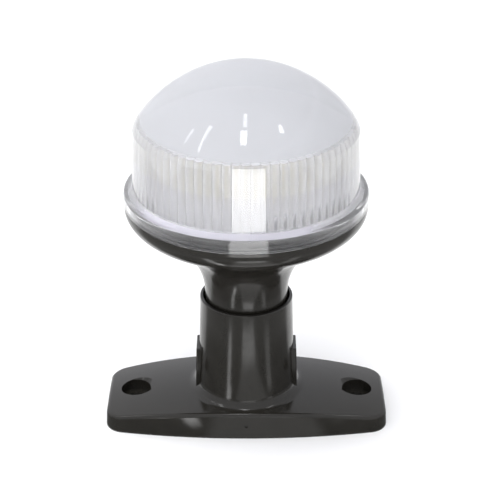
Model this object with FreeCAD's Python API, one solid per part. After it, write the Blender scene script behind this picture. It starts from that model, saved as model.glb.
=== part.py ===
import FreeCAD, Part
import math
import os

# A fixed-mount all-round navigation light for a small boat. A two-hole base carries a short
# post. The stem of a goblet-shaped housing is snapped into the post, and a clear fluted lens
# screws onto the housing's collar with a coarse three-start thread, over a small LED tower.
# Millimetres. The origin is the centre of the base's underside, +Z is up the light's axis,
# X runs through the two screw holes.

# Base plate
BASE_LENGTH = 87.6
BASE_DEPTH = 37.4
BASE_CROWN = 10.2
BASE_DRAFT_DEG = 3.0
BASE_CORNER_R = 6.0
BASE_SIDE_R = 225.0
CROWN_ALONG_R = 210.0
CROWN_ACROSS_R = 97.0
BASE_EDGE_R = 1.2
BASE_WALL = 2.6
HUB_R = 16.6
RIB_WIDTH = 1.6
RIB_X = (21.5, 29.5)
SCREW_SPACING = 70.0
SCREW_HOLE_R = 2.4
COUNTERBORE_R = 4.65
COUNTERBORE_LIP_Z = 6.8
COUNTERBORE_LIP_WIDTH = 1.2
COUNTERBORE_LIP_HEIGHT = 1.2
COUNTERBORE_FLOOR = 3.4
SCREW_BOSS_R = 6.6
CABLE_HOLE_R = 11.0
GATE_MARK_Z = 4.3
GATE_MARK_R = 0.55

# Post of the base, and the pads on its sides
POST_FOOT_R = 15.4
POST_MIDDLE_R = 14.5
POST_TOP_R = 14.2
POST_FOOT_Z = 9.0
POST_MIDDLE_Z = 28.0
POST_TOP = 40.84
POST_BORE_R = 13.35
POST_LIP_R = 0.4
POST_FILLET_R = 3.4
PAD_TOP = 23.6
PAD_TOP_X = 15.5
PAD_FOOT_X = 15.95
PAD_WIDTH = 9.0
PAD_EDGE_R = 0.35

# Stem of the housing, inside the post
STEM_BOTTOM = 8.0
STEM_FIT_R = 13.27
STEM_FIT_TOP = 36.3
STEM_R = 12.7
STEM_BORE_R = 10.2
STEM_SEAL_Z = 32.2
STEM_SEAL_D = 1.12
STEM_GROOVE_R = 12.2
STEM_GROOVE_HEIGHT = 1.5
HOOK_TOP = 21.8
HOOK_HEIGHT = 5.3
HOOK_X = 14.1
HOOK_WIDTH = 6.4
HOOK_ROOM = 0.35
TONGUE_TOP = 24.0
TONGUE_SLOT = 1.0

# Goblet of the housing
NECK_TOP = 42.3
COVE_R = 21.06
COVE_END_DEG = 60.0
CONE_END_R = 30.82
CONE_END_Z = 64.9
BOWL_CENTRE_R = 6.25
BOWL_CENTRE_Z = 71.9
BOWL_LONG = 30.0
BOWL_SHORT = 12.2
BOWL_R = BOWL_CENTRE_R + BOWL_LONG
RIM_Z = 72.75
GOBLET_WALL = 3.0
BOWL_ROOM_R = 29.4
BOWL_ROOM_Z = 68.1
COLLAR_R = 33.3
COLLAR_BORE_R = 31.0
COLLAR_TOP = 76.3
LEDGE_Z = 73.4

# Coarse thread between the collar and the lens skirt
THREAD_STARTS = 3
THREAD_LEAD = 12.0
THREAD_RIB_R = 34.3
THREAD_RIB_FROM_DEG = -22.0
THREAD_RIB_TO_DEG = 12.0
THREAD_LUG_R = 33.45
THREAD_LUG_HALF_DEG = 9.0
THREAD_MATE_Z = 75.1
THREAD_HEIGHT = 0.8
THREAD_CLEARANCE = 0.08
THREAD_FIRST_DEG = 40.0

# Lens
SKIRT_R = 36.33
SKIRT_BORE_R = 34.55
SKIRT_EDGE_Z = 76.2
SHOULDER_OUT_R = 35.6
SHOULDER_OUT_Z = 77.25
SHOULDER_IN_R = 34.1
SHOULDER_IN_Z = 78.1
WALL_FOOT_R = 33.7
WALL_FOOT_Z = 78.6
WALL_TOP_R = 33.07
WALL_TOP_Z = 95.95
DOME_HEIGHT = 18.8
DOME_WIDTH_POWER = 2.05
DOME_HEIGHT_POWER = 1.235
DOME_STATIONS = 12
LENS_STEP_Z = 76.45
FLUTE_COUNT = 72
FLUTE_CREST_R = 28.9
FLUTE_CENTRE_R = 29.55
FLUTE_R = 1.25
FLUTE_TOP = 97.0
INNER_DOME_TOP = 108.2
LENS_SEAL_R = 33.93
LENS_SEAL_D = 1.14
LENS_SEAL_Z = 73.34

# Reflector plate
REFLECTOR_R = 30.8
REFLECTOR_THICKNESS = 1.5
REFLECTOR_HOLE_R = 9.6
REFLECTOR_SCREW_PCR = 27.2
REFLECTOR_SCREW_FIRST_DEG = 90.0

# Driver board
BOARD_R = 21.5
BOARD_BOTTOM = 66.0
BOARD_THICKNESS = 1.6
BOARD_SCREW_PCR = 18.3
BOARD_SCREW_FIRST_DEG = 60.0
BOARD_TOP = BOARD_BOTTOM + BOARD_THICKNESS
BOSS_R = 2.4
PILOT_R = 0.95
SCREW_SHANK_R = 0.95
SCREW_HEAD_R = 1.9
SCREW_HEAD_HEIGHT = 1.3
SCREW_HOLE_IN_PLATE_R = 1.2
SCREW_LENGTH = 5.0

# LED tower
PAD_SHEET = 0.5
TOWER_SIDES = 6
TOWER_APOTHEM = 9.0
TOWER_TOP = 86.0
TOWER_FLANGE_R = 8.0
TOWER_FLANGE_HEIGHT = 1.5
TOWER_NECK_R = 7.0
LED_BOARD_WIDTH = 9.8
LED_BOARD_BOTTOM = 75.3
LED_BOARD_THICKNESS = 1.0
PHOSPHOR_WIDTH = 8.4
PHOSPHOR_MARGIN = 0.5
PHOSPHOR_THICKNESS = 0.5
CAP_THICKNESS = 1.0
TOWER_SCREW_R = 1.45
TOWER_SCREW_HEAD_R = 2.7
TOWER_SCREW_HEAD_HEIGHT = 1.7
TOWER_SCREW_BOTTOM = 72.0

# Wiring inside the stem
LEAD_R = 1.1
LEAD_TOP_X = 10.2
TAIL_HOLE_R = 0.6
TAIL_BEAD_R = 0.8
LEAD_X = 3.4
LEAD_BEND_R = 8.0
LEAD_UPPER_Z = 58.0
LEAD_LOWER_Z = 48.0
CONNECTOR_R = 2.4
CONNECTOR_TOP = 41.0
CONNECTOR_BOTTOM = 25.0
CONNECTOR_SOCKET = 5.0
GROMMET_BORE_R = 3.1
GROMMET_BOTTOM = 8.2
GROMMET_BODY_TOP = 14.2
GROMMET_TOP = 20.0

# Parts on the driver board: (x, y) places, and (x, y, z) sizes
CAPACITOR_PLACE = (13.6, -6.6)
CAPACITOR_BASE_SIZE = (6.6, 6.6, 0.8)
CAPACITOR_CAN_R = 3.1
CAPACITOR_CAN_HEIGHT = 4.2
CAPACITOR_EDGE_R = 0.4
INDUCTOR_PLACE = (-13.4, 6.4)
INDUCTOR_SIZE = (6.8, 6.8, 2.9)
INDUCTOR_CORNER_R = 1.2
INDUCTOR_CORE_R = 2.2
INDUCTOR_BORE_R = 2.7
INDUCTOR_GAP_DEPTH = 0.4
CHIP_PLACE = (-12.6, -7.4)
CHIP_SIZE = (3.9, 4.9, 1.45)
CHIP_STANDOFF = 0.15
CHIP_LEGS_PER_SIDE = 4
CHIP_LEG_PITCH = 1.27
CHIP_LEG_SIZE = (6.0, 0.4, 0.35)
DIODE_PLACES = ((12.0, 8.2), (12.0, 12.0))
DIODE_SIZE = (4.4, 2.6, 2.1)
DIODE_TAB_SIZE = (5.6, 1.4, 0.5)
SUPPRESSOR_PLACE = (0.0, 15.5)
SUPPRESSOR_SIZE = (6.0, 5.0, 1.7)
RESISTOR_COUNT = 6
RESISTOR_PITCH = 2.6
RESISTOR_FIRST_X = -7.8
RESISTOR_Y = -15.6
RESISTOR_SIZE = (1.6, 3.2, 0.6)

FIT_GAP = 0.02


def vec(x, y, z):
    return FreeCAD.Vector(x, y, z)


AXIS = vec(0, 0, 1)
ORIGIN = vec(0, 0, 0)


class Outline:
    """A closed outline in the r-z half plane, drawn edge by edge, then turned about the Z axis."""

    def __init__(self, r, z):
        self.first = vec(r, 0, z)
        self.last = self.first
        self.edges = []

    def line(self, r, z):
        end = vec(r, 0, z)
        self.edges.append(Part.LineSegment(self.last, end).toShape())
        self.last = end
        return self

    def arc(self, via, end):
        end = vec(end[0], 0, end[1])
        self.edges.append(Part.Arc(self.last, vec(via[0], 0, via[1]), end).toShape())
        self.last = end
        return self

    def curve(self, points):
        """A smooth curve from the last point through the given ones."""
        points = [self.last] + [vec(r, 0, z) for r, z in points]
        spline = Part.BSplineCurve()
        spline.interpolate(points)
        self.edges.append(spline.toShape())
        self.last = points[-1]
        return self

    def turned(self):
        if self.last.distanceToPoint(self.first) > 1e-6:
            self.line(self.first.x, self.first.z)
        return Part.Face(Part.Wire(self.edges)).revolve(ORIGIN, AXIS, 360)


def disc(radius, low, high, x=0.0, y=0.0):
    return Part.makeCylinder(radius, high - low, vec(x, y, low))


def tube(outer, inner, low, high):
    return disc(outer, low, high).cut(disc(inner, low - 1, high + 1))


def block(x, y, z):
    """A box from three (low, high) pairs."""
    return Part.makeBox(x[1] - x[0], y[1] - y[0], z[1] - z[0], vec(x[0], y[0], z[0]))


def turned_copy(shape, degrees):
    copy = shape.copy()
    copy.rotate(ORIGIN, AXIS, degrees)
    return copy


def around(shape, count, first_deg=0.0):
    """Copies of a shape spaced evenly about the light's axis."""
    return [turned_copy(shape, first_deg + i * 360.0 / count) for i in range(count)]


def both_sides(shape):
    """The shape and its mirror image across the YZ plane."""
    return [shape, shape.mirror(ORIGIN, vec(1, 0, 0))]


def prism_xz(points, half_width):
    """A flat-sided block with the given x-z outline, centred on y = 0."""
    corners = [vec(x, -half_width, z) for x, z in points]
    face = Part.Face(Part.makePolygon(corners + corners[:1]))
    return face.extrude(vec(0, 2 * half_width, 0))


def ring(centre_r, section_d, z):
    return Part.makeTorus(centre_r, section_d / 2, vec(0, 0, z))


def pan_screw(shank_r, head_r, head_height, length):
    """A domed screw with a cross recess, its head's underside at z = 0."""
    edge = head_height * 0.45
    screw = (
        Outline(0, -length)
        .line(shank_r * 0.3, -length)
        .line(shank_r, -length + 1.2)
        .line(shank_r, 0)
        .line(head_r, 0)
        .line(head_r, edge)
        .arc((head_r * 0.72, head_height * 0.86), (0, head_height))
        .turned()
    )
    slot = block((-head_r * 0.55, head_r * 0.55), (-0.22, 0.22), (head_height * 0.4, head_height + 1))
    return screw.cut(slot).cut(turned_copy(slot, 90))


# ---------------------------------------------------------------- base


def plan_wire(inset, z):
    """The base's plan at one height: gently bowed long sides and straight ends."""
    half_x = BASE_LENGTH / 2 - inset
    half_y = BASE_DEPTH / 2 - inset
    side_r = BASE_SIDE_R - inset
    end_y = half_y - (side_r - math.sqrt(side_r**2 - half_x**2))
    front = Part.Arc(vec(-half_x, -end_y, z), vec(0, -half_y, z), vec(half_x, -end_y, z))
    back = Part.Arc(vec(half_x, end_y, z), vec(0, half_y, z), vec(-half_x, end_y, z))
    right = Part.LineSegment(vec(half_x, -end_y, z), vec(half_x, end_y, z))
    left = Part.LineSegment(vec(-half_x, end_y, z), vec(-half_x, -end_y, z))
    return Part.Wire([e.toShape() for e in (front, right, back, left)])


def drafted_block(inset, low, high, corner_r):
    """The plan drawn up with draft and with its four corners rounded."""
    slope = math.tan(math.radians(BASE_DRAFT_DEG))
    wires = [plan_wire(inset + z * slope, z) for z in (low, high)]
    solid = Part.makeLoft(wires, True, True)
    rising = []
    for edge in solid.Edges:
        heights = [v.Point.z for v in edge.Vertexes]
        if max(heights) - min(heights) > (high - low) / 2:
            rising.append(edge)
    return solid.makeFillet(corner_r, rising)


def crowned_block(crown):
    """Everything below the doubly crowned top surface whose highest point is at z = crown."""
    half = BASE_DEPTH
    edge_z = crown - CROWN_ACROSS_R + math.sqrt(CROWN_ACROSS_R**2 - half**2)
    low = -10.0
    arc = Part.Arc(vec(0, -half, edge_z), vec(0, 0, crown), vec(0, half, edge_z))
    corners = [vec(0, half, edge_z), vec(0, half, low), vec(0, -half, low), vec(0, -half, edge_z)]
    lines = [Part.LineSegment(a, b) for a, b in zip(corners, corners[1:])]
    face = Part.Face(Part.Wire([e.toShape() for e in [arc] + lines]))
    centre = vec(0, 0, crown - CROWN_ALONG_R)
    spread = 16.0
    face.rotate(centre, vec(0, 1, 0), -spread)
    return face.revolve(centre, vec(0, 1, 0), 2 * spread)


def base_plate():
    plate = drafted_block(0.0, 0.0, 14.0, BASE_CORNER_R).common(crowned_block(BASE_CROWN))
    plate = plate.Solids[0]
    top = max(plate.Faces, key=lambda f: f.CenterOfMass.z)
    return plate.makeFillet(BASE_EDGE_R, top.Edges)


def base_post():
    return (
        Outline(0, 2)
        .line(POST_FOOT_R, 2)
        .line(POST_FOOT_R, POST_FOOT_Z)
        .arc((POST_MIDDLE_R, POST_MIDDLE_Z), (POST_TOP_R, POST_TOP - POST_LIP_R))
        .arc(
            (POST_TOP_R - 0.3 * POST_LIP_R, POST_TOP - 0.3 * POST_LIP_R),
            (POST_TOP_R - POST_LIP_R, POST_TOP),
        )
        .line(0, POST_TOP)
        .turned()
    )


def plate_with_post():
    """The plate and post as one, with a fillet round the post's foot."""
    joined = base_plate().fuse(base_post()).removeSplitter()
    foot = []
    for edge in joined.Edges:
        places = [edge.valueAt(p) for p in edge.ParameterRange]
        middle = edge.valueAt(sum(edge.ParameterRange) / 2)
        places.append(middle)
        near = all(abs(math.hypot(p.x, p.y) - POST_FOOT_R) < 0.4 for p in places)
        if near and all(7.0 < p.z < BASE_CROWN for p in places):
            foot.append(edge)
    return joined.makeFillet(POST_FILLET_R, foot)


def pads():
    outline = [(8, 5), (PAD_FOOT_X, 5), (PAD_TOP_X, PAD_TOP), (8, PAD_TOP)]
    pad = prism_xz(outline, PAD_WIDTH / 2)
    outer = []
    for edge in pad.Edges:
        if all(v.Point.x > PAD_TOP_X - 1 for v in edge.Vertexes):
            outer.append(edge)
        elif all(v.Point.z > PAD_TOP - 0.1 for v in edge.Vertexes):
            outer.append(edge)
    outer = [e for e in outer if not all(v.Point.z < 6 for v in e.Vertexes)]
    outer = [e for e in outer if not all(v.Point.x < 9 for v in e.Vertexes)]
    return both_sides(pad.makeFillet(PAD_EDGE_R, outer))


def underside_recess():
    """The hollow under the plate, between the hub, the screw bosses and the ribs."""
    recess = drafted_block(BASE_WALL, -1.0, 14.0, BASE_CORNER_R - BASE_WALL)
    recess = recess.common(crowned_block(BASE_CROWN - BASE_WALL))
    kept = [disc(HUB_R, -2, 20)]
    kept += [disc(SCREW_BOSS_R, -2, 20, x) for x in (-SCREW_SPACING / 2, SCREW_SPACING / 2)]
    half = RIB_WIDTH / 2
    for x in RIB_X:
        kept += both_sides(block((x - half, x + half), (-30, 30), (-2, 20)))
    kept.append(block((-50, 50), (-half, half), (-2, 20)))
    return recess.cut(kept)


def make_mounting_base():
    body = plate_with_post().fuse(pads()).removeSplitter()
    cuts = [underside_recess()]
    cuts.append(disc(POST_BORE_R, STEM_BOTTOM, POST_TOP + 1))
    cuts.append(disc(CABLE_HOLE_R, -1, STEM_BOTTOM + 1))
    for x in (-SCREW_SPACING / 2, SCREW_SPACING / 2):
        cuts.append(disc(SCREW_HOLE_R, -1, BASE_CROWN + 1, x))
        cuts.append(disc(COUNTERBORE_R, COUNTERBORE_FLOOR, BASE_CROWN + 1, x))
        lip_r = COUNTERBORE_R + COUNTERBORE_LIP_WIDTH
        lip_place = vec(x, 0, COUNTERBORE_LIP_Z)
        cuts.append(Part.makeCone(COUNTERBORE_R, lip_r, COUNTERBORE_LIP_HEIGHT, lip_place))
    pocket = block(
        (10, HOOK_X + HOOK_ROOM),
        (-HOOK_WIDTH / 2 - HOOK_ROOM, HOOK_WIDTH / 2 + HOOK_ROOM),
        (HOOK_TOP - HOOK_HEIGHT - HOOK_ROOM, HOOK_TOP + FIT_GAP),
    )
    cuts += both_sides(pocket)
    front_y = -BASE_DEPTH / 2 + GATE_MARK_Z * math.tan(math.radians(BASE_DRAFT_DEG))
    cuts.append(
        Part.makeCylinder(GATE_MARK_R, 2, vec(0, front_y + 0.35, GATE_MARK_Z), vec(0, -1, 0))
    )
    return body.cut(cuts)


# ---------------------------------------------------------------- housing


def cove_point(offset, degrees):
    """A point on the cove, or on the curve that runs the given distance inside the wall."""
    centre_r = STEM_R + COVE_R
    radius = COVE_R + offset
    angle = math.radians(degrees)
    return (centre_r - radius * math.cos(angle), NECK_TOP + radius * math.sin(angle))


def bowl_curve():
    """The rounded side of the bowl: a quarter-ellipse stretch that ends upright."""
    start = math.asin((BOWL_CENTRE_Z - CONE_END_Z) / BOWL_SHORT)
    points = []
    steps = 6
    for i in range(1, steps + 1):
        angle = start * (1 - i / steps)
        r = BOWL_CENTRE_R + BOWL_LONG * math.cos(angle)
        points.append((r, BOWL_CENTRE_Z - BOWL_SHORT * math.sin(angle)))
    return points


def goblet_solid():
    """The housing's outside as a full solid."""
    cove_end = cove_point(0, COVE_END_DEG)
    return (
        Outline(0, STEM_BOTTOM)
        .line(STEM_FIT_R - 0.4, STEM_BOTTOM)
        .line(STEM_FIT_R, STEM_BOTTOM + 0.8)
        .line(STEM_FIT_R, STEM_FIT_TOP)
        .line(STEM_R, STEM_FIT_TOP + 0.8)
        .line(STEM_R, NECK_TOP)
        .arc(cove_point(0, COVE_END_DEG / 2), cove_end)
        .line(CONE_END_R, CONE_END_Z)
        .curve(bowl_curve())
        .line(BOWL_R, RIM_Z)
        .line(COLLAR_R, RIM_Z)
        .line(COLLAR_R, COLLAR_TOP - 0.3)
        .line(COLLAR_R - 0.3, COLLAR_TOP)
        .line(0, COLLAR_TOP)
        .turned()
    )


def goblet_room():
    """The hollow of the bowl, the funnel below it and the bore of the stem."""
    low_deg = math.degrees(math.acos((STEM_R + COVE_R - STEM_BORE_R) / (COVE_R + GOBLET_WALL)))
    funnel_end = cove_point(GOBLET_WALL, COVE_END_DEG)
    return (
        Outline(0, STEM_BOTTOM - 1)
        .line(STEM_BORE_R, STEM_BOTTOM - 1)
        .line(STEM_BORE_R, cove_point(GOBLET_WALL, low_deg)[1])
        .arc(cove_point(GOBLET_WALL, (low_deg + COVE_END_DEG) / 2), funnel_end)
        .line(BOWL_ROOM_R, BOWL_ROOM_Z)
        .line(BOWL_ROOM_R, LEDGE_Z)
        .line(COLLAR_BORE_R, LEDGE_Z)
        .line(COLLAR_BORE_R, COLLAR_TOP + 1)
        .line(0, COLLAR_TOP + 1)
        .turned()
    )


def thread_piece(inner, outer, from_deg, to_deg, above):
    """A short stretch of helical thread, centred on the +X axis. Its mating face passes through
    THREAD_MATE_Z on that axis, and the piece lies above or below that face."""
    sector = tube(outer, inner, RIM_Z, COLLAR_TOP + 3)
    wedge = Part.makeCylinder(60, 20, vec(0, 0, RIM_Z - 5), AXIS, to_deg - from_deg)
    wedge.rotate(ORIGIN, AXIS, from_deg)
    slope = math.degrees(math.atan(THREAD_LEAD / (2 * math.pi * SKIRT_BORE_R)))
    low = THREAD_CLEARANCE / 2 if above else -THREAD_HEIGHT
    slab = block((-60, 60), (-60, 60), (low, low + THREAD_HEIGHT - THREAD_CLEARANCE / 2))
    slab.rotate(ORIGIN, vec(1, 0, 0), slope)
    slab.translate(vec(0, 0, THREAD_MATE_Z))
    return sector.common(wedge).common(slab)


def bosses(pitch_r, first_deg, top):
    boss = disc(BOSS_R, NECK_TOP, top, pitch_r)
    return around(boss, 3, first_deg)


def pilots(pitch_r, first_deg, top):
    return around(disc(PILOT_R, top - SCREW_LENGTH, top + 1, pitch_r), 3, first_deg)


def hook():
    foot = HOOK_TOP - HOOK_HEIGHT
    outline = [(12, foot), (STEM_FIT_R - 0.3, foot), (HOOK_X, HOOK_TOP - 1.4)]
    outline += [(HOOK_X, HOOK_TOP), (12, HOOK_TOP)]
    return prism_xz(outline, HOOK_WIDTH / 2)


def make_lamp_housing():
    outside = goblet_solid()
    body = outside.cut(goblet_room())
    board_bosses = bosses(BOARD_SCREW_PCR, BOARD_SCREW_FIRST_DEG, BOARD_BOTTOM)
    plate_bosses = bosses(REFLECTOR_SCREW_PCR, REFLECTOR_SCREW_FIRST_DEG, LEDGE_Z)
    inside = [b.common(outside) for b in board_bosses + plate_bosses]
    rib = thread_piece(COLLAR_R - 0.5, THREAD_RIB_R, THREAD_RIB_FROM_DEG, THREAD_RIB_TO_DEG, True)
    ribs = around(rib, THREAD_STARTS, THREAD_FIRST_DEG)
    body = body.fuse(inside + ribs + both_sides(hook())).removeSplitter()
    cuts = [disc(STEM_BORE_R, STEM_BOTTOM - 1, NECK_TOP)]
    low = STEM_SEAL_Z - STEM_GROOVE_HEIGHT / 2
    cuts.append(tube(STEM_FIT_R + 1, STEM_GROOVE_R, low, low + STEM_GROOVE_HEIGHT))
    for side in (-1, 1):
        edge = side * (HOOK_WIDTH / 2 + TONGUE_SLOT / 2)
        slot = block(
            (STEM_BORE_R - 3, STEM_FIT_R + 1),
            (edge - TONGUE_SLOT / 2, edge + TONGUE_SLOT / 2),
            (STEM_BOTTOM - 1, TONGUE_TOP),
        )
        cuts += both_sides(slot)
    cuts += pilots(BOARD_SCREW_PCR, BOARD_SCREW_FIRST_DEG, BOARD_BOTTOM)
    cuts += pilots(REFLECTOR_SCREW_PCR, REFLECTOR_SCREW_FIRST_DEG, LEDGE_Z)
    return body.cut(cuts)


def make_stem_seal():
    middle_r = (STEM_GROOVE_R + POST_BORE_R) / 2
    return ring(middle_r, STEM_SEAL_D, STEM_SEAL_Z)


def make_cable_grommet():
    """A rubber plug pressed into the stem's end, with the hole for the supply cable."""
    return (
        Outline(GROMMET_BORE_R, GROMMET_BOTTOM)
        .line(STEM_BORE_R - FIT_GAP - 0.4, GROMMET_BOTTOM)
        .line(STEM_BORE_R - FIT_GAP, GROMMET_BOTTOM + 0.5)
        .line(STEM_BORE_R - FIT_GAP, GROMMET_BODY_TOP)
        .line(GROMMET_BORE_R + 2.6, GROMMET_BODY_TOP)
        .line(GROMMET_BORE_R + 1.2, GROMMET_TOP)
        .line(GROMMET_BORE_R, GROMMET_TOP)
        .turned()
    )


# ---------------------------------------------------------------- lens


def dome_curve():
    """The outside of the dome, from the top of the wall to the apex: a rounded-shoulder curve."""
    points = []
    for i in range(1, DOME_STATIONS + 1):
        width = math.cos(math.pi / 2 * i / DOME_STATIONS)
        rise = (1 - width**DOME_WIDTH_POWER) ** (1 / DOME_HEIGHT_POWER)
        points.append((WALL_TOP_R * width, WALL_TOP_Z + DOME_HEIGHT * rise))
    points[-1] = (0, WALL_TOP_Z + DOME_HEIGHT)
    return points


def lens_outside():
    return (
        Outline(0, RIM_Z)
        .line(SKIRT_R - 0.3, RIM_Z)
        .line(SKIRT_R, RIM_Z + 0.3)
        .line(SKIRT_R, SKIRT_EDGE_Z)
        .arc((SKIRT_R - 0.25, SKIRT_EDGE_Z + 0.65), (SHOULDER_OUT_R, SHOULDER_OUT_Z))
        .line(SHOULDER_IN_R, SHOULDER_IN_Z)
        .arc((WALL_FOOT_R + 0.12, WALL_FOOT_Z - 0.3), (WALL_FOOT_R, WALL_FOOT_Z))
        .line(WALL_TOP_R, WALL_TOP_Z)
        .curve(dome_curve())
        .turned()
    )


def fluted_room():
    """The hollow inside the lens wall: a prism whose side is a ring of round grooves."""
    step = 2 * math.pi / FLUTE_COUNT
    along = (FLUTE_CREST_R**2 + FLUTE_CENTRE_R**2 - FLUTE_R**2) / (2 * FLUTE_CREST_R * FLUTE_CENTRE_R)
    half = math.acos(along)

    def at(radius, angle):
        return vec(radius * math.cos(angle), radius * math.sin(angle), LENS_STEP_Z)

    edges = []
    for i in range(FLUTE_COUNT):
        middle = i * step
        start = at(FLUTE_CREST_R, middle - half)
        end = at(FLUTE_CREST_R, middle + half)
        root = at(FLUTE_CENTRE_R + FLUTE_R, middle)
        edges.append(Part.Arc(start, root, end).toShape())
        edges.append(Part.LineSegment(end, at(FLUTE_CREST_R, middle + step - half)).toShape())
    return Part.Face(Part.Wire(edges)).extrude(vec(0, 0, FLUTE_TOP - LENS_STEP_Z))


def inner_dome():
    rise = INNER_DOME_TOP - FLUTE_TOP
    radius = (FLUTE_CREST_R**2 + rise**2) / (2 * rise)
    centre_z = INNER_DOME_TOP - radius
    half_r = FLUTE_CREST_R / 2
    half_z = centre_z + math.sqrt(radius**2 - half_r**2)
    return (
        Outline(0, FLUTE_TOP - 2)
        .line(FLUTE_CREST_R, FLUTE_TOP - 2)
        .line(FLUTE_CREST_R, FLUTE_TOP)
        .arc((half_r, half_z), (0, INNER_DOME_TOP))
        .turned()
    )


def make_lens():
    room = fluted_room().fuse(inner_dome())
    body = lens_outside().cut([room, disc(SKIRT_BORE_R, RIM_Z - 1, LENS_STEP_Z)])
    half = THREAD_LUG_HALF_DEG
    lug = thread_piece(THREAD_LUG_R, SKIRT_BORE_R + 0.4, -half, half, False)
    return body.fuse(around(lug, THREAD_STARTS, THREAD_FIRST_DEG)).removeSplitter()


def make_lens_seal():
    return ring(LENS_SEAL_R, LENS_SEAL_D, LENS_SEAL_Z)


# ---------------------------------------------------------------- reflector and driver board


def make_reflector_plate():
    edge = REFLECTOR_R
    top = LEDGE_Z + REFLECTOR_THICKNESS
    plate = (
        Outline(REFLECTOR_HOLE_R, LEDGE_Z)
        .line(edge, LEDGE_Z)
        .line(edge, top - 0.3)
        .line(edge - 0.3, top)
        .line(REFLECTOR_HOLE_R + 0.4, top)
        .line(REFLECTOR_HOLE_R, top - 0.4)
        .turned()
    )
    hole = disc(SCREW_HOLE_IN_PLATE_R, LEDGE_Z - 1, top + 1, REFLECTOR_SCREW_PCR)
    return plate.cut(around(hole, 3, REFLECTOR_SCREW_FIRST_DEG))


def screws_at(pitch_r, first_deg, seat_z, length):
    screw = pan_screw(SCREW_SHANK_R, SCREW_HEAD_R, SCREW_HEAD_HEIGHT, length)
    screw.translate(vec(pitch_r, 0, seat_z))
    return Part.makeCompound(around(screw, 3, first_deg))


def make_reflector_screws():
    top = LEDGE_Z + REFLECTOR_THICKNESS
    return screws_at(REFLECTOR_SCREW_PCR, REFLECTOR_SCREW_FIRST_DEG, top, SCREW_LENGTH)


def make_board_screws():
    return screws_at(BOARD_SCREW_PCR, BOARD_SCREW_FIRST_DEG, BOARD_TOP, SCREW_LENGTH)


def make_driver_board():
    board = disc(BOARD_R, BOARD_BOTTOM, BOARD_TOP)
    hole = disc(SCREW_HOLE_IN_PLATE_R, BOARD_BOTTOM - 1, BOARD_TOP + 1, BOARD_SCREW_PCR)
    holes = around(hole, 3, BOARD_SCREW_FIRST_DEG)
    holes += [disc(TAIL_HOLE_R, BOARD_BOTTOM - 1, BOARD_TOP + 1, x) for x in (-LEAD_TOP_X, LEAD_TOP_X)]
    return board.cut(holes)


def on_board(place, size, lift=0.0):
    """A box centred at a place on the driver board's top side."""
    long, deep, high = size
    corner = vec(place[0] - long / 2, place[1] - deep / 2, BOARD_TOP + lift)
    return Part.makeBox(long, deep, high, corner)


def make_smoothing_capacitor():
    """A surface-mount can on its square base."""
    base_top = BOARD_TOP + CAPACITOR_BASE_SIZE[2]
    can = Part.makeCylinder(CAPACITOR_CAN_R, CAPACITOR_CAN_HEIGHT, vec(*CAPACITOR_PLACE, base_top))
    can = can.makeFillet(CAPACITOR_EDGE_R, [can.Edges[0]])
    return on_board(CAPACITOR_PLACE, CAPACITOR_BASE_SIZE).fuse(can).removeSplitter()


def make_power_inductor():
    """A shielded square inductor with a round ferrite core."""
    body = on_board(INDUCTOR_PLACE, INDUCTOR_SIZE)
    upright = [e for e in body.Edges if abs(e.Vertexes[0].Z - e.Vertexes[1].Z) > 1]
    body = body.makeFillet(INDUCTOR_CORNER_R, upright)
    top = BOARD_TOP + INDUCTOR_SIZE[2]
    low = top - INDUCTOR_GAP_DEPTH
    bore = disc(INDUCTOR_BORE_R, low, top + 1, *INDUCTOR_PLACE)
    return body.cut(bore.cut(disc(INDUCTOR_CORE_R, low, top + 1, *INDUCTOR_PLACE)))


def make_driver_chip():
    """The LED driver: an eight-leg chip."""
    x, y = CHIP_PLACE
    body = on_board(CHIP_PLACE, CHIP_SIZE, CHIP_STANDOFF)
    legs = []
    for i in range(CHIP_LEGS_PER_SIDE):
        leg_y = y + (i - (CHIP_LEGS_PER_SIDE - 1) / 2) * CHIP_LEG_PITCH
        legs.append(on_board((x, leg_y), CHIP_LEG_SIZE))
    return body.fuse(legs).removeSplitter()


def make_polarity_diodes():
    """Two diodes that guard against a reversed supply."""
    solids = []
    for place in DIODE_PLACES:
        body = on_board(place, DIODE_SIZE).fuse(on_board(place, DIODE_TAB_SIZE))
        solids.append(body.removeSplitter())
    return Part.makeCompound(solids)


def make_surge_suppressor():
    return on_board(SUPPRESSOR_PLACE, SUPPRESSOR_SIZE)


def make_chip_resistors():
    """Small resistors in a row at the front of the board."""
    places = [(RESISTOR_FIRST_X + i * RESISTOR_PITCH, RESISTOR_Y) for i in range(RESISTOR_COUNT)]
    return Part.makeCompound([on_board(place, RESISTOR_SIZE) for place in places])


# ---------------------------------------------------------------- LED tower


def hexagon(apothem, low, high):
    corner_r = apothem / math.cos(math.pi / TOWER_SIDES)
    corners = []
    for i in range(TOWER_SIDES):
        angle = 2 * math.pi * (i + 0.5) / TOWER_SIDES
        corners.append(vec(corner_r * math.cos(angle), corner_r * math.sin(angle), low))
    return Part.Face(Part.makePolygon(corners + corners[:1])).extrude(vec(0, 0, high - low))


def make_thermal_pad():
    low = BOARD_TOP
    return tube(TOWER_FLANGE_R, TOWER_SCREW_R + 1, low, low + PAD_SHEET)


def make_tower_core():
    """The aluminium core: a foot flange, a neck through the reflector plate, and the hexagonal
    head that the LED panels are stuck to, with a tapped hole."""
    low = BOARD_TOP + PAD_SHEET
    foot = disc(TOWER_FLANGE_R, low, low + TOWER_FLANGE_HEIGHT)
    neck = disc(TOWER_NECK_R, low, LED_BOARD_BOTTOM + 1)
    core = hexagon(TOWER_APOTHEM, LED_BOARD_BOTTOM, TOWER_TOP).fuse([foot, neck]).removeSplitter()
    return core.cut(disc(TOWER_SCREW_R + FIT_GAP, TOWER_SCREW_BOTTOM - 1, TOWER_TOP + 1))


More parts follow.
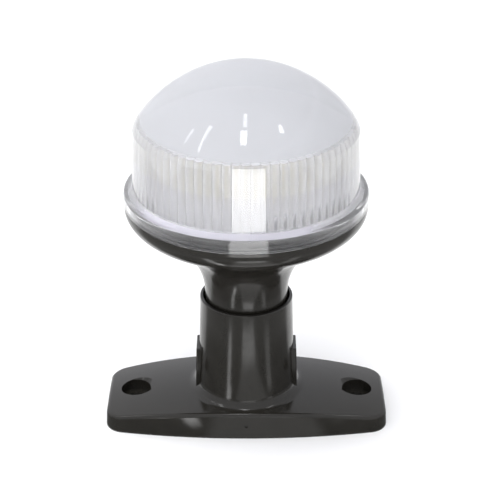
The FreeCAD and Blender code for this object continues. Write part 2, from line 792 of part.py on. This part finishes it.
def panel(inner, thickness, width, low, high):
    return block((inner, inner + thickness), (-width / 2, width / 2), (low, high))


def make_led_panels():
    one = panel(TOWER_APOTHEM, LED_BOARD_THICKNESS, LED_BOARD_WIDTH, LED_BOARD_BOTTOM, TOWER_TOP)
    return Part.makeCompound(around(one, TOWER_SIDES))


def make_led_phosphors():
    inner = TOWER_APOTHEM + LED_BOARD_THICKNESS
    low = LED_BOARD_BOTTOM + PHOSPHOR_MARGIN
    one = panel(inner, PHOSPHOR_THICKNESS, PHOSPHOR_WIDTH, low, TOWER_TOP - PHOSPHOR_MARGIN)
    outer = [e for e in one.Edges if all(v.Point.x > inner + 0.1 for v in e.Vertexes)]
    return Part.makeCompound(around(one.makeFillet(0.3, outer), TOWER_SIDES))


def make_tower_cap():
    """The white cap that locates the panels' upper ends."""
    cap = hexagon(TOWER_APOTHEM + LED_BOARD_THICKNESS + 0.4, TOWER_TOP, TOWER_TOP + CAP_THICKNESS)
    rim = [e for e in cap.Edges if all(v.Point.z > TOWER_TOP + 0.1 for v in e.Vertexes)]
    cap = cap.makeFillet(0.3, rim)
    return cap.cut(disc(TOWER_SCREW_R + 0.15, TOWER_TOP - 1, TOWER_TOP + 5))


def make_tower_screw():
    seat = TOWER_TOP + CAP_THICKNESS
    screw = pan_screw(TOWER_SCREW_R, TOWER_SCREW_HEAD_R, TOWER_SCREW_HEAD_HEIGHT, seat - TOWER_SCREW_BOTTOM)
    screw.translate(vec(0, 0, seat))
    return screw


# ---------------------------------------------------------------- wiring


def bent_wire(points, bend_r, radius):
    """A round wire along straight runs joined by tangent arcs."""
    edges = []
    last = points[0]
    for before, corner, after in zip(points, points[1:], points[2:]):
        back = (before - corner).normalize()
        ahead = (after - corner).normalize()
        half_turn = (math.pi - back.getAngle(ahead)) / 2
        reach = bend_r * math.tan(half_turn)
        start = corner + back * reach
        end = corner + ahead * reach
        inward = (back + ahead).normalize()
        middle = corner + inward * (bend_r / math.cos(half_turn) - bend_r)
        edges.append(Part.LineSegment(last, start).toShape())
        edges.append(Part.Arc(start, middle, end).toShape())
        last = end
    edges.append(Part.LineSegment(last, points[-1]).toShape())
    first = (points[1] - points[0]).normalize()
    section = Part.Wire([Part.makeCircle(radius, points[0], first)])
    return Part.Wire(edges).makePipeShell([section], True, False)


def lead(side):
    """One insulated lead, from the board down into its butt connector."""
    points = [
        vec(side * LEAD_TOP_X, 0, BOARD_BOTTOM),
        vec(side * LEAD_TOP_X, 0, LEAD_UPPER_Z),
        vec(side * LEAD_X, 0, LEAD_LOWER_Z),
        vec(side * LEAD_X, 0, CONNECTOR_TOP - CONNECTOR_SOCKET),
    ]
    return bent_wire(points, LEAD_BEND_R, LEAD_R)


def make_positive_lead():
    return lead(1)


def make_negative_lead():
    return lead(-1)


def make_butt_connectors():
    """Two crimp sleeves. The leads enter from above, the supply cable's cores from below."""
    solids = []
    for side in (-1, 1):
        x = side * LEAD_X
        sleeve = disc(CONNECTOR_R, CONNECTOR_BOTTOM, CONNECTOR_TOP, x)
        sleeve = sleeve.makeFillet(0.4, [sleeve.Edges[0], sleeve.Edges[2]])
        socket_r = LEAD_R + FIT_GAP
        upper = disc(socket_r, CONNECTOR_TOP - CONNECTOR_SOCKET, CONNECTOR_TOP + 1, x)
        lower = disc(socket_r, CONNECTOR_BOTTOM - 1, CONNECTOR_BOTTOM + CONNECTOR_SOCKET, x)
        solids.append(sleeve.cut([upper, lower]))
    return Part.makeCompound(solids)


def make_solder_tails():
    """The leads' tinned ends, through the board and soldered on its top side."""
    tails = []
    for side in (-1, 1):
        x = side * LEAD_TOP_X
        pin = disc(TAIL_HOLE_R - FIT_GAP, BOARD_BOTTOM, BOARD_TOP, x)
        bead = Part.makeSphere(TAIL_BEAD_R, vec(x, 0, BOARD_TOP), AXIS, 0, 90, 360)
        tails.append(pin.fuse(bead).removeSplitter())
    return Part.makeCompound(tails)


NODES = {
    "mounting_base": make_mounting_base,
    "lamp_housing": make_lamp_housing,
    "stem_seal": make_stem_seal,
    "cable_grommet": make_cable_grommet,
    "lens": make_lens,
    "lens_seal": make_lens_seal,
    "reflector_plate": make_reflector_plate,
    "reflector_screws": make_reflector_screws,
    "driver_board": make_driver_board,
    "board_screws": make_board_screws,
    "smoothing_capacitor": make_smoothing_capacitor,
    "power_inductor": make_power_inductor,
    "driver_chip": make_driver_chip,
    "polarity_diodes": make_polarity_diodes,
    "surge_suppressor": make_surge_suppressor,
    "chip_resistors": make_chip_resistors,
    "thermal_pad": make_thermal_pad,
    "tower_core": make_tower_core,
    "led_panels": make_led_panels,
    "led_phosphors": make_led_phosphors,
    "tower_cap": make_tower_cap,
    "tower_screw": make_tower_screw,
    "positive_lead": make_positive_lead,
    "negative_lead": make_negative_lead,
    "butt_connectors": make_butt_connectors,
    "solder_tails": make_solder_tails,
}

os.makedirs("parts", exist_ok=True)
for name, make in NODES.items():
    shape = make()
    solids = len(shape.Solids)
    print(name, "solids", solids, "valid", shape.isValid(), "volume", round(shape.Volume, 2))
    shape.exportStep(f"parts/{name}.step")
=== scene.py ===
import math

import bpy
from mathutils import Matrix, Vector

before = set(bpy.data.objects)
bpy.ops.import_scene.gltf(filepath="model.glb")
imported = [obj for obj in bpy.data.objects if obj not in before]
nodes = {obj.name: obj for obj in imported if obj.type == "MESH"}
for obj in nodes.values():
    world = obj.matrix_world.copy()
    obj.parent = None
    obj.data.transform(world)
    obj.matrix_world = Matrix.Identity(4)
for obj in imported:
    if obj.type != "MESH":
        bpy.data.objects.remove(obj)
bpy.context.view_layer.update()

# The looks of the navigation light: a material for every CAD piece, a pale floor, soft studio
# light and the camera. Metres, in the frame's own axes: +Z up, the two screw holes along X, and
# the front of the light towards -Y.

MM = 0.001

# The camera stands in front of the light and looks down at it.
CAMERA_PLACE = (0.00112, -0.400, 0.2603)
CAMERA_DOWN_DEG = 27.08
CAMERA_LENS_MM = 106.9

# The room is brighter round BRIGHT_SIDE, from where the cosine of the angle is BRIGHT_FROM.
ROOM_COLOUR = (0.95, 0.955, 1.0)
ROOM_STRENGTH = (0.78, 1.1)
BRIGHT_SIDE = (-0.55, 0.72, 0.42)
BRIGHT_FROM = 0.55

# Height of the ceiling strips, and for each its name, its two ends, its width and its radiance
CEILING = 1.05
CEILING_STRIPS = (
    ("strip_middle_back", (-0.01, 0.02), (-0.01, -0.19), 0.05, 6.0),
    ("strip_middle_front", (-0.03, -0.235), (-0.04, -0.48), 0.10, 10.0),
    ("strip_left", (-0.46, -0.07), (-0.86, -0.48), 0.06, 6.0),
    ("strip_far_left", (-0.75, 0.03), (-1.04, -0.14), 0.05, 4.0),
    ("strip_right", (0.43, -0.06), (0.50, -0.18), 0.07, 9.0),
)

# Heights on the lens where its look changes, from its lower rim up to the dome
# The rim and shoulder heights bound the painted highlights at the skirt's lower and upper edges.
RIM_HEIGHTS = (72.6 * MM, 73.05 * MM)
SHOULDER_HEIGHTS = (77.0 * MM, 78.0 * MM)
SKIRT_TOP_Z = 77.6 * MM
WALL_FADE = (SKIRT_TOP_Z, SKIRT_TOP_Z + 0.5 * MM)
TICK_HEIGHTS = (79.5 * MM, 82.5 * MM)
BAND_HEIGHTS = (88.0 * MM, 96.6 * MM)
DOME_FADE = (94.0 * MM, 98.0 * MM)

# The frost lies inside half an ellipsoid, which runs between the dome's two surfaces.
FROST_RADIUS = 30.6 * MM
FROST_FLOOR_Z = 97.0 * MM
FROST_TOP_Z = 111.0 * MM

# Distances from the axis: inside the wall, and outwards into the grooves between the flutes
INNER_RADIUS = 31.2 * MM
GROOVE_RADII = (29.4 * MM, 30.7 * MM)
TICK_RADII = (30.62 * MM, 30.78 * MM)

# The painted dark ticks, standing in for the dark thread ribs behind the flutes, come in groups
# round the axis, each between these angles from its start.
TICKS_EVERY_DEG = 120
TICKS_DEG = (11, 66)

# Where the painted highlight on the shoulder ends and the skirt grows hazier, from 0 in front to
# 1 at the sides
SHOULDER_TURN_DEG = 12
SHOULDER_FADE = (0.4, 0.75)
SKIRT_FADE = (0.2, 1.0)

# How much light passes straight through each part of the lens
SKIRT_CLARITY = 0.98
SKIRT_SIDE_CLARITY = 0.86
# The shoulder and the lower rim get this haze as a painted highlight.
SHOULDER_CLARITY = 0.68
WALL_CLARITY = 0.79
DOME_CLARITY = 0.78
FLUTE_CLARITY = 0.68
FROST_CLARITY = 0.2

CLEAR_ROUGHNESS = (0.0, 0.02)
FLUTE_ROUGHNESS = 0.12
FROST_ROUGHNESS = 0.45

CLEAR_COLOURS = ((0.97, 0.97, 0.975), (0.985, 0.985, 0.99))
# Lavender tint of the painted highlight on the shoulder
SHOULDER_HIGHLIGHT_COLOUR = (0.92, 0.90, 1.0)
# Painted shade in the grooves between the flutes
GROOVE_SHADE_COLOUR = (0.76, 0.76, 0.82)
# A painted warm band that strengthens the lamp's panels seen through the wall
BAND_COLOUR = (0.93, 0.925, 0.87)
BAND_STRENGTH = 0.7
# Painted shade: the colour of the dark ticks
TICK_COLOUR = (0.04, 0.04, 0.07)
FROST_COLOUR = (0.54, 0.555, 0.603)

# Nearly all of a noise's values lie between these two.
NOISE_LOW = 0.3
NOISE_HIGH = 0.7

scene = bpy.context.scene


# ---------------------------------------------------------------- shader helpers


class Shader:
    """A material whose Principled node takes plain values, with helpers for its node tree."""

    def __init__(self, name, **values):
        self.material = bpy.data.materials.new(name)
        self.material.use_nodes = True
        self.tree = self.material.node_tree
        self.main = self.tree.nodes["Principled BSDF"]
        for socket, value in values.items():
            self.main.inputs[socket.replace("_", " ")].default_value = value

    def node(self, kind, **settings):
        """A new node. A setting is one of its input sockets or, failing that, its property."""
        made = self.tree.nodes.new(kind)
        for key, value in settings.items():
            if key in made.inputs:
                made.inputs[key].default_value = value
            else:
                setattr(made, key, value)
        return made

    def link(self, source, target):
        self.tree.links.new(source, target)

    def drive(self, socket, output):
        self.link(output, self.main.inputs[socket])

    def feed(self, sockets, values):
        """Gives each socket its value, which is a number or another node's output."""
        for socket, value in zip(sockets, values):
            if isinstance(value, (int, float)):
                socket.default_value = value
            else:
                self.link(value, socket)

    def place(self):
        """Coordinates on the piece, in metres. They are the frame's own when it is at rest."""
        return self.node("ShaderNodeTexCoord").outputs["Object"]

    def noise(self, scale, detail=3.0):
        """Noise with features of about 1/scale metres."""
        made = self.node("ShaderNodeTexNoise", Scale=scale, Detail=detail, Roughness=0.55)
        self.link(self.place(), made.inputs["Vector"])
        return made.outputs["Fac"]

    def calc(self, operation, *values):
        """One step of arithmetic on numbers or outputs."""
        made = self.node("ShaderNodeMath", operation=operation)
        self.feed(made.inputs, values)
        return made.outputs[0]

    def ranged(self, value, low, high, from_low=NOISE_LOW, from_high=NOISE_HIGH):
        """Goes from low to high as value goes from from_low to from_high, and no further."""
        made = self.node("ShaderNodeMapRange")
        names = ("From Min", "From Max", "To Min", "To Max")
        for socket, number in zip(names, (from_low, from_high, low, high)):
            made.inputs[socket].default_value = number
        self.link(value, made.inputs["Value"])
        return made.outputs["Result"]

    def rise(self, value, start, end):
        """0 up to start, and 1 from end on."""
        return self.ranged(value, 0.0, 1.0, start, end)

    def fall(self, value, start, end):
        """1 up to start, and 0 from end on."""
        return self.ranged(value, 1.0, 0.0, start, end)

    def window(self, value, low, high, soft):
        """1 between low and high, fading to 0 over the distance soft on both sides."""
        entry = self.rise(value, low - soft, low)
        return self.calc("MULTIPLY", entry, self.fall(value, high, high + soft))

    def mixed(self, factor, first, second):
        """Goes from first to second as factor goes from 0 to 1."""
        made = self.node("ShaderNodeMix")
        self.feed((made.inputs[0], made.inputs[2], made.inputs[3]), (factor, first, second))
        return made.outputs[0]

    def mixed_colours(self, factor, first, second):
        """Goes from the output first to the plain colour second as factor goes from 0 to 1."""
        made = self.node("ShaderNodeMix", data_type="RGBA")
        colours = [i for i in made.inputs if i.type == "RGBA"]
        self.link(factor, made.inputs[0])
        self.link(first, colours[0])
        colours[1].default_value = (*second, 1)
        return [o for o in made.outputs if o.type == "RGBA"][0]

    def blend_colours(self, noise, first, second):
        """A colour that wanders between first and second with the noise."""
        ramp = self.node("ShaderNodeValToRGB")
        ends = ramp.color_ramp.elements
        for end, colour, position in zip(ends, (first, second), (NOISE_LOW, NOISE_HIGH)):
            end.color = (*colour, 1)
            end.position = position
        self.link(noise, ramp.inputs["Fac"])
        return ramp.outputs["Color"]

    def bump(self, height, distance, strength):
        made = self.node("ShaderNodeBump", Strength=strength, Distance=distance)
        self.link(height, made.inputs["Height"])
        self.drive("Normal", made.outputs["Normal"])

    def spot(self):
        """X, Y, Z and the distance from the light's axis, all in metres."""
        made = self.node("ShaderNodeSeparateXYZ")
        self.link(self.place(), made.inputs["Vector"])
        x, y, z = made.outputs
        squares = self.calc("ADD", self.calc("MULTIPLY", x, x), self.calc("MULTIPLY", y, y))
        return x, y, z, self.calc("SQRT", squares)

    def azimuth(self, x, y):
        """The angle about the light's axis, in radians: 0 in front, positive to the right."""
        return self.calc("ARCTAN2", x, self.calc("MULTIPLY", y, -1.0))

    def sideways(self, x, y, across, turned_deg):
        """0 in front and behind, and 1 at both sides, all turned about the axis."""
        turned = math.radians(turned_deg)
        along = self.calc("MULTIPLY", x, math.cos(turned))
        offset = self.calc("SUBTRACT", along, self.calc("MULTIPLY", y, math.sin(turned)))
        share = self.calc("ABSOLUTE", self.calc("DIVIDE", offset, across))
        return self.calc("POWER", share, 2.0)


def paint(material, *names):
    for name in names:
        data = nodes[name].data
        data.materials.clear()
        data.materials.append(material)


# ---------------------------------------------------------------- the lens


def frosted_dome(s, height, across):
    """1 inside the half ellipsoid of the frost, 0 elsewhere."""
    wide = s.calc("POWER", s.calc("DIVIDE", across, FROST_RADIUS), 2.0)
    above = s.calc("SUBTRACT", height, FROST_FLOOR_Z)
    up = s.calc("DIVIDE", above, FROST_TOP_Z - FROST_FLOOR_Z)
    within = s.calc("LESS_THAN", s.calc("ADD", wide, s.calc("MULTIPLY", up, up)), 1.0)
    return s.calc("MULTIPLY", within, s.calc("GREATER_THAN", height, FROST_FLOOR_Z))


def painted_shoulder_highlight(s, x, y, height, across, inner):
    """Where the painted highlight goes: 1 on the outer edge where the skirt turns into the wall,
    except towards both sides.
    """
    level = s.window(height, *SHOULDER_HEIGHTS, soft=0.25 * MM)
    outside = s.calc("MULTIPLY", level, s.calc("SUBTRACT", 1.0, inner))
    front = s.fall(s.sideways(x, y, across, SHOULDER_TURN_DEG), *SHOULDER_FADE)
    return s.calc("MULTIPLY", outside, front)


def painted_dark_ticks(s, x, y, height, across, fluted):
    """1 at the lower ends of the grooves, deep inside them, in groups round the lens. Painted
    shade:
    these dark marks stand in for the dark thread ribs behind the flutes.
    """
    foot = s.fall(height, *TICK_HEIGHTS)
    deep = s.calc("MULTIPLY", fluted, s.rise(across, *TICK_RADII))
    turned = s.calc("WRAP", s.azimuth(x, y), math.radians(TICKS_EVERY_DEG), 0.0)
    first, last = (math.radians(angle) for angle in TICKS_DEG)
    group = s.window(turned, first, last, soft=math.radians(3))
    return s.calc("MULTIPLY", s.calc("MULTIPLY", deep, foot), group)


def clear_moulding():
    """Clear, faintly cool plastic. The skirt is bright clear and grows hazier towards its sides;
    its upper edge, the shoulder, and its lower rim are made milky as a painted highlight, the
    shoulder tinted lavender. The wall is slightly milky. The flutes inside the wall are hazy,
    with painted shade in their grooves, painted dark ticks at the lower ends of some grooves, and
    a painted warm band that strengthens the lamp's panels seen through the wall. The inside of
    the dome is frosted, an even white."""
    s = Shader("clear_moulding", IOR=1.49, Transmission_Weight=1.0)
    x, y, height, across = s.spot()
    frosted = frosted_dome(s, height, across)
    inner = s.calc("LESS_THAN", across, INNER_RADIUS)
    fluted = s.calc("MULTIPLY", inner, s.calc("LESS_THAN", height, FROST_FLOOR_Z))
    shoulder = painted_shoulder_highlight(s, x, y, height, across, inner)
    rim = s.window(height, *RIM_HEIGHTS, soft=0.05 * MM)

    turned_away = s.sideways(x, y, across, 0)
    skirt = s.ranged(turned_away, SKIRT_CLARITY, SKIRT_SIDE_CLARITY, *SKIRT_FADE)
    wall = s.mixed(s.rise(height, *DOME_FADE), WALL_CLARITY, DOME_CLARITY)
    clarity = s.mixed(s.rise(height, *WALL_FADE), skirt, wall)
    # Painted highlight: the shoulder and the lower rim are made milky.
    clarity = s.mixed(s.calc("MAXIMUM", shoulder, rim), clarity, SHOULDER_CLARITY)
    clarity = s.mixed(fluted, clarity, FLUTE_CLARITY)
    s.drive("Transmission Weight", s.mixed(frosted, clarity, FROST_CLARITY))

    colour = s.blend_colours(s.noise(90), *CLEAR_COLOURS)
    # Painted highlight: the shoulder is tinted lavender.
    colour = s.mixed_colours(shoulder, colour, SHOULDER_HIGHLIGHT_COLOUR)
    # Painted shade: the grooves darker than the crests of the flutes.
    groove_shade = s.calc("MULTIPLY", fluted, s.rise(across, *GROOVE_RADII))
    colour = s.mixed_colours(groove_shade, colour, GROOVE_SHADE_COLOUR)
    # Painted warm band on the flutes, strengthening the lamp's panels seen through the wall.
    painted_panel_band = s.calc("MULTIPLY", fluted, s.window(height, *BAND_HEIGHTS, soft=0.7 * MM))
    colour = s.mixed_colours(s.calc("MULTIPLY", painted_panel_band, BAND_STRENGTH), colour, BAND_COLOUR)
    # Painted shade: dark ticks standing in for the dark thread ribs behind the flutes.
    ticks = painted_dark_ticks(s, x, y, height, across, fluted)
    colour = s.mixed_colours(ticks, colour, TICK_COLOUR)
    s.drive("Base Color", s.mixed_colours(frosted, colour, FROST_COLOUR))

    rough = s.ranged(s.noise(500, detail=4), *CLEAR_ROUGHNESS)
    rough = s.mixed(fluted, rough, FLUTE_ROUGHNESS)
    s.drive("Roughness", s.mixed(frosted, rough, FROST_ROUGHNESS))
    return s.material


# ---------------------------------------------------------------- the other materials


def moulded_black():
    """Glossy warm charcoal with the faint ripple and uneven gloss of a moulded surface."""
    s = Shader("moulded_black", Specular_IOR_Level=0.5)
    dark, light = (0.0165, 0.0153, 0.0125), (0.0195, 0.0180, 0.0150)
    s.drive("Base Color", s.blend_colours(s.noise(160), dark, light))
    s.drive("Roughness", s.ranged(s.noise(420, detail=5), 0.12, 0.2))
    s.bump(s.noise(900, detail=2), 0.02 * MM, strength=0.25)
    return s.material


def rubber():
    s = Shader("rubber", Specular_IOR_Level=0.3)
    dark, light = (0.008, 0.008, 0.008), (0.016, 0.016, 0.016)
    s.drive("Base Color", s.blend_colours(s.noise(400), dark, light))
    s.drive("Roughness", s.ranged(s.noise(1500), 0.45, 0.6))
    s.bump(s.noise(2500), 0.02 * MM, strength=0.4)
    return s.material


def plain_plastic(name, dark, light, roughness):
    s = Shader(name)
    s.drive("Base Color", s.blend_colours(s.noise(300), dark, light))
    s.drive("Roughness", s.ranged(s.noise(900), roughness - 0.05, roughness + 0.05))
    s.bump(s.noise(1800), 0.015 * MM, strength=0.3)
    return s.material


def metal(name, dark, light, roughness):
    s = Shader(name, Metallic=1.0)
    s.drive("Base Color", s.blend_colours(s.noise(600), dark, light))
    s.drive("Roughness", s.ranged(s.noise(1500, detail=5), roughness - 0.08, roughness + 0.08))
    s.bump(s.noise(3000), 0.01 * MM, strength=0.3)
    return s.material


# Each inner material: its kind and name, its darkest and lightest colour, its roughness, and the
# pieces that have it
INNER_MATERIALS = (
    (plain_plastic, "white_moulding", (0.84, 0.84, 0.87), (0.88, 0.88, 0.90), 0.35,
     ("reflector_plate", "tower_cap")),
    (metal, "stainless", (0.52, 0.52, 0.53), (0.66, 0.66, 0.66), 0.25,
     ("reflector_screws", "board_screws", "tower_screw")),
    (plain_plastic, "solder_mask", (0.01, 0.09, 0.03), (0.02, 0.14, 0.05), 0.35,
     ("driver_board",)),
    (metal, "can_aluminium", (0.7, 0.7, 0.7), (0.8, 0.8, 0.8), 0.3,
     ("smoothing_capacitor",)),
    (plain_plastic, "epoxy", (0.010, 0.010, 0.011), (0.022, 0.022, 0.022), 0.5,
     ("power_inductor", "driver_chip", "polarity_diodes", "surge_suppressor", "chip_resistors")),
    (plain_plastic, "silicone_pad", (0.25, 0.27, 0.3), (0.3, 0.32, 0.35), 0.7,
     ("thermal_pad",)),
    (metal, "machined_aluminium", (0.62, 0.62, 0.64), (0.74, 0.74, 0.75), 0.3,
     ("tower_core",)),
    (plain_plastic, "panel_lacquer", (0.62, 0.54, 0.26), (0.70, 0.61, 0.32), 0.4,
     ("led_panels",)),
    (plain_plastic, "phosphor", (0.62, 0.50, 0.10), (0.72, 0.58, 0.14), 0.55,
     ("led_phosphors",)),
    (plain_plastic, "red_insulation", (0.28, 0.012, 0.01), (0.36, 0.02, 0.015), 0.4,
     ("positive_lead",)),
    (plain_plastic, "black_insulation", (0.01, 0.01, 0.01), (0.02, 0.02, 0.02), 0.4,
     ("negative_lead",)),
    (plain_plastic, "blue_nylon", (0.02, 0.06, 0.3), (0.03, 0.09, 0.36), 0.3,
     ("butt_connectors",)),
    (metal, "solder", (0.55, 0.55, 0.55), (0.7, 0.7, 0.7), 0.2,
     ("solder_tails",)),
)


def paint_everything():
    paint(moulded_black(), "mounting_base", "lamp_housing")
    paint(clear_moulding(), "lens")
    paint(rubber(), "stem_seal", "cable_grommet", "lens_seal")
    for kind, name, dark, light, roughness, pieces in INNER_MATERIALS:
        paint(kind(name, dark, light, roughness), *pieces)


# ---------------------------------------------------------------- studio


def floor():
    bpy.ops.mesh.primitive_plane_add(size=6.0, location=(0, 0, 0))
    made = bpy.context.object
    made.name = "floor"
    s = Shader("floor", Roughness=0.9, Specular_IOR_Level=0.1)
    s.drive("Base Color", s.blend_colours(s.noise(3), (0.90, 0.90, 0.90), (0.92, 0.92, 0.92)))
    made.data.materials.append(s.material)


def glow(s):
    """How brightly each place on the reflection board glows. The patches are what shows in the
    black mouldings and the skirt of the lens."""
    x, y, _, reach = s.spot()
    azimuth = s.azimuth(x, y)

    def turn(low_deg, high_deg, soft_deg):
        return s.window(azimuth, *(math.radians(a) for a in (low_deg, high_deg, soft_deg)))

    def ring(low_mm, high_mm, soft_mm):
        return s.window(reach, low_mm * MM, high_mm * MM, soft_mm * MM)

    def wide(low_mm, high_mm, soft_mm):
        return s.window(x, low_mm * MM, high_mm * MM, soft_mm * MM)

    def deep(low_mm, high_mm, soft_mm):
        return s.window(y, low_mm * MM, high_mm * MM, soft_mm * MM)

    def patch(strength, *windows):
        value = strength
        for window in windows:
            value = s.calc("MULTIPLY", value, window)
        return value

    patches = (
        # All round, away from the light
        patch(0.22, ring(70, 1000, 3)),
        # Middle of the neck and of the post's lower half
        patch(0.5, wide(-10, 22, 4), deep(-62, -19, 6)),
        # Middle of the post's upper half
        patch(2.2, wide(-8, 20, 5), deep(-80, -66, 7)),
        # Left streak on the post, and its brighter lower end
        patch(3.0, turn(-38, -34, 2.5), ring(50, 76, 8)),
        patch(4.0, turn(-36, -31, 2.5), ring(34, 42, 6)),
        # Right streak on the post
        patch(0.9, turn(44, 50, 4), ring(46, 76, 8)),
        # Patch on the skirt, below the bright rectangle on the wall
        patch(5.8, turn(-13, 17, 2), ring(172, 190, 4)),
        # Behind, on the right and on the left
        patch(0.9, turn(115, 200, 12)),
        patch(0.9, turn(-200, -115, 12)),
    )
    total = 0.2
    for one in patches:
        total = s.calc("ADD", total, one)
    return total


def reflection_board():
    """A dark board just above the floor, seen only in reflections. It keeps the white floor out
    of the black mouldings and puts a few bright patches there instead."""
    bpy.ops.mesh.primitive_plane_add(size=0.5, location=(0, 0, 0.4 * MM))
    made = bpy.context.object
    made.name = "reflection_board"
    s = Shader("reflection_board", Base_Color=(0, 0, 0, 1), Specular_IOR_Level=0.0, Roughness=1.0)
    s.main.inputs["Emission Color"].default_value = (1, 1, 1, 1)
    s.drive("Emission Strength", glow(s))
    made.data.materials.append(s.material)
    made.visible_camera = False
    made.visible_diffuse = False
    made.visible_transmission = False
    made.visible_shadow = False


def area_light(name, place, target, size, power):
    """A soft rectangular lamp that looks at target. It isn't seen directly."""
    data = bpy.data.lights.new(name, "AREA")
    data.shape = "RECTANGLE"
    data.size, data.size_y = size
    data.energy = power
    made = bpy.data.objects.new(name, data)
    made.location = place
    made.rotation_euler = (Vector(target) - Vector(place)).to_track_quat("-Z", "Y").to_euler()
    made.visible_camera = False
    scene.collection.objects.link(made)
    return made


def lens_lamps(middle):
    """Lamps that light only the lens. Two cards in front are reflected as the bright rectangle on
    its wall, the high card at the upper end and the low card below. Soft fills on both sides
    brighten the flutes."""
    low_card = area_light(
        "low_card", place=(0.0085, -0.19, 0.041), target=(0.0085, 0, 0.05),
        size=(0.101, 0.06), power=0.15,
    )
    high_card = area_light(
        "high_card", place=(0.005, -0.12, 0.115), target=(0.005, 0, 0.115),
        size=(0.06, 0.07), power=0.08,
    )
    high_card.visible_diffuse = False
    lamps = [low_card, high_card]
    for name, side in (("left_fill", -1), ("right_fill", 1)):
        fill = area_light(
            name, place=(side * 0.45, -0.03, 0.07), target=middle, size=(0.2, 0.2), power=0.8
        )
        fill.visible_glossy = False
        lamps.append(fill)
    only_lens = bpy.data.collections.new("only_lens")
    only_lens.objects.link(nodes["lens"])
    for lamp in lamps:
        lamp.visible_transmission = False
        lamp.light_linking.receiver_collection = only_lens


def ceiling_strip(name, start, end, width, radiance):
    """A narrow lamp on the ceiling. Only its reflection counts: it draws a streak on the dome."""
    (x0, y0), (x1, y1) = start, end
    length = math.hypot(x1 - x0, y1 - y0)
    middle = ((x0 + x1) / 2, (y0 + y1) / 2, CEILING)
    below = (middle[0], middle[1], 0)
    made = area_light(name, middle, below, (width, length), radiance * math.pi * width * length)
    made.rotation_euler = (0, 0, math.atan2(y1 - y0, x1 - x0) - math.pi / 2)
    made.visible_transmission = False


def room():
    """An even pale room, a little brighter high up behind the light and to its left."""
    world = bpy.data.worlds.new("studio")
    world.use_nodes = True
    tree = world.node_tree
    background = tree.nodes["Background"]
    background.inputs["Color"].default_value = (*ROOM_COLOUR, 1)
    direction = tree.nodes.new("ShaderNodeTexCoord").outputs["Generated"]
    towards = tree.nodes.new("ShaderNodeVectorMath")
    towards.operation = "DOT_PRODUCT"
    towards.inputs[1].default_value = Vector(BRIGHT_SIDE).normalized()
    strength = tree.nodes.new("ShaderNodeMapRange")
    strength.inputs["From Min"].default_value = BRIGHT_FROM
    strength.inputs["From Max"].default_value = 1.0
    strength.inputs["To Min"].default_value = ROOM_STRENGTH[0]
    strength.inputs["To Max"].default_value = ROOM_STRENGTH[1]
    tree.links.new(direction, towards.inputs[0])
    tree.links.new(towards.outputs["Value"], strength.inputs["Value"])
    tree.links.new(strength.outputs["Result"], background.inputs["Strength"])
    scene.world = world


def studio():
    room()
    floor()
    reflection_board()
    middle = (0, 0, 0.06)
    overhead = area_light(
        "overhead", place=(-0.25, -0.25, 1.1), target=middle, size=(1.6, 1.4), power=13.0
    )
    overhead.visible_glossy = False
    lens_lamps(middle)
    for strip in CEILING_STRIPS:
        ceiling_strip(*strip)


def camera():
    data = bpy.data.cameras.new("camera")
    data.lens = CAMERA_LENS_MM
    data.sensor_width = 36.0
    data.clip_start = 0.01
    made = bpy.data.objects.new("camera", data)
    made.location = CAMERA_PLACE
    made.rotation_euler = (math.radians(90 - CAMERA_DOWN_DEG), 0, 0)
    scene.collection.objects.link(made)
    scene.camera = made


paint_everything()
studio()
camera()
scene.view_settings.view_transform = "Standard"
